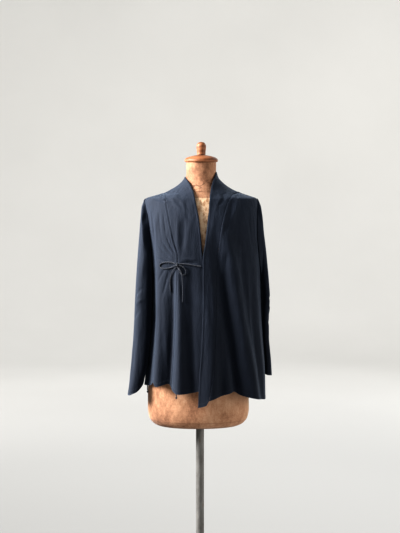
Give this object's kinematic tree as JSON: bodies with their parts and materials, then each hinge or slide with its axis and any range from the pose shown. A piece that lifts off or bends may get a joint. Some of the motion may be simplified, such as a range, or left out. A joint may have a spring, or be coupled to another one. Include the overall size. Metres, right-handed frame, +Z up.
{
  "type": "long-sleeved wrap bolero jacket on a limbless dress form",
  "caption": "Thin navy long-sleeved wrap bolero with a standing shawl band and a cord tie, worn by a linen-covered limbless dress form on a pole with a round foot.",
  "frame": {"origin": "centre of the round foot's underside, on the floor, on the pole's axis", "axes": "+Z up along the pole, -Y the way the worn jacket faces, +X towards the wearer's left side"},
  "size_m": [0.4573, 0.3221, 1.6603],
  "materials": {
    "navy_cloth": "soft matte navy jersey with a faint sheen",
    "navy_cord": "thin round cord of the same cloth",
    "form_cover": "aged tan linen over papier-mache, mottled and matte",
    "turned_wood": "turned beech, waxed, satin",
    "pole_steel": "worn bare steel tube",
    "foot_iron": "dark painted casting, satin"
  },
  "bodies": {
    "root": {"back": "navy_cloth", "right_front": "navy_cloth", "left_front": "navy_cloth", "right_band": "navy_cloth", "left_band": "navy_cloth", "right_sleeve": "navy_cloth", "left_sleeve": "navy_cloth", "tie_knot": "navy_cord", "tie_lead": "navy_cord", "tie_loop_side": "navy_cord", "tie_loop_band": "navy_cord", "tie_end_side": "navy_cord", "tie_end_band": "navy_cord", "hem_tie_front": "navy_cord", "hem_tie_side": "navy_cord", "hem_tie_front_knot": "navy_cord", "hem_tie_side_knot": "navy_cord", "form_torso": "form_cover", "neck_cap": "turned_wood", "finial": "turned_wood", "pole": "pole_steel", "foot": "foot_iron"}
  },
  "joints": []
}
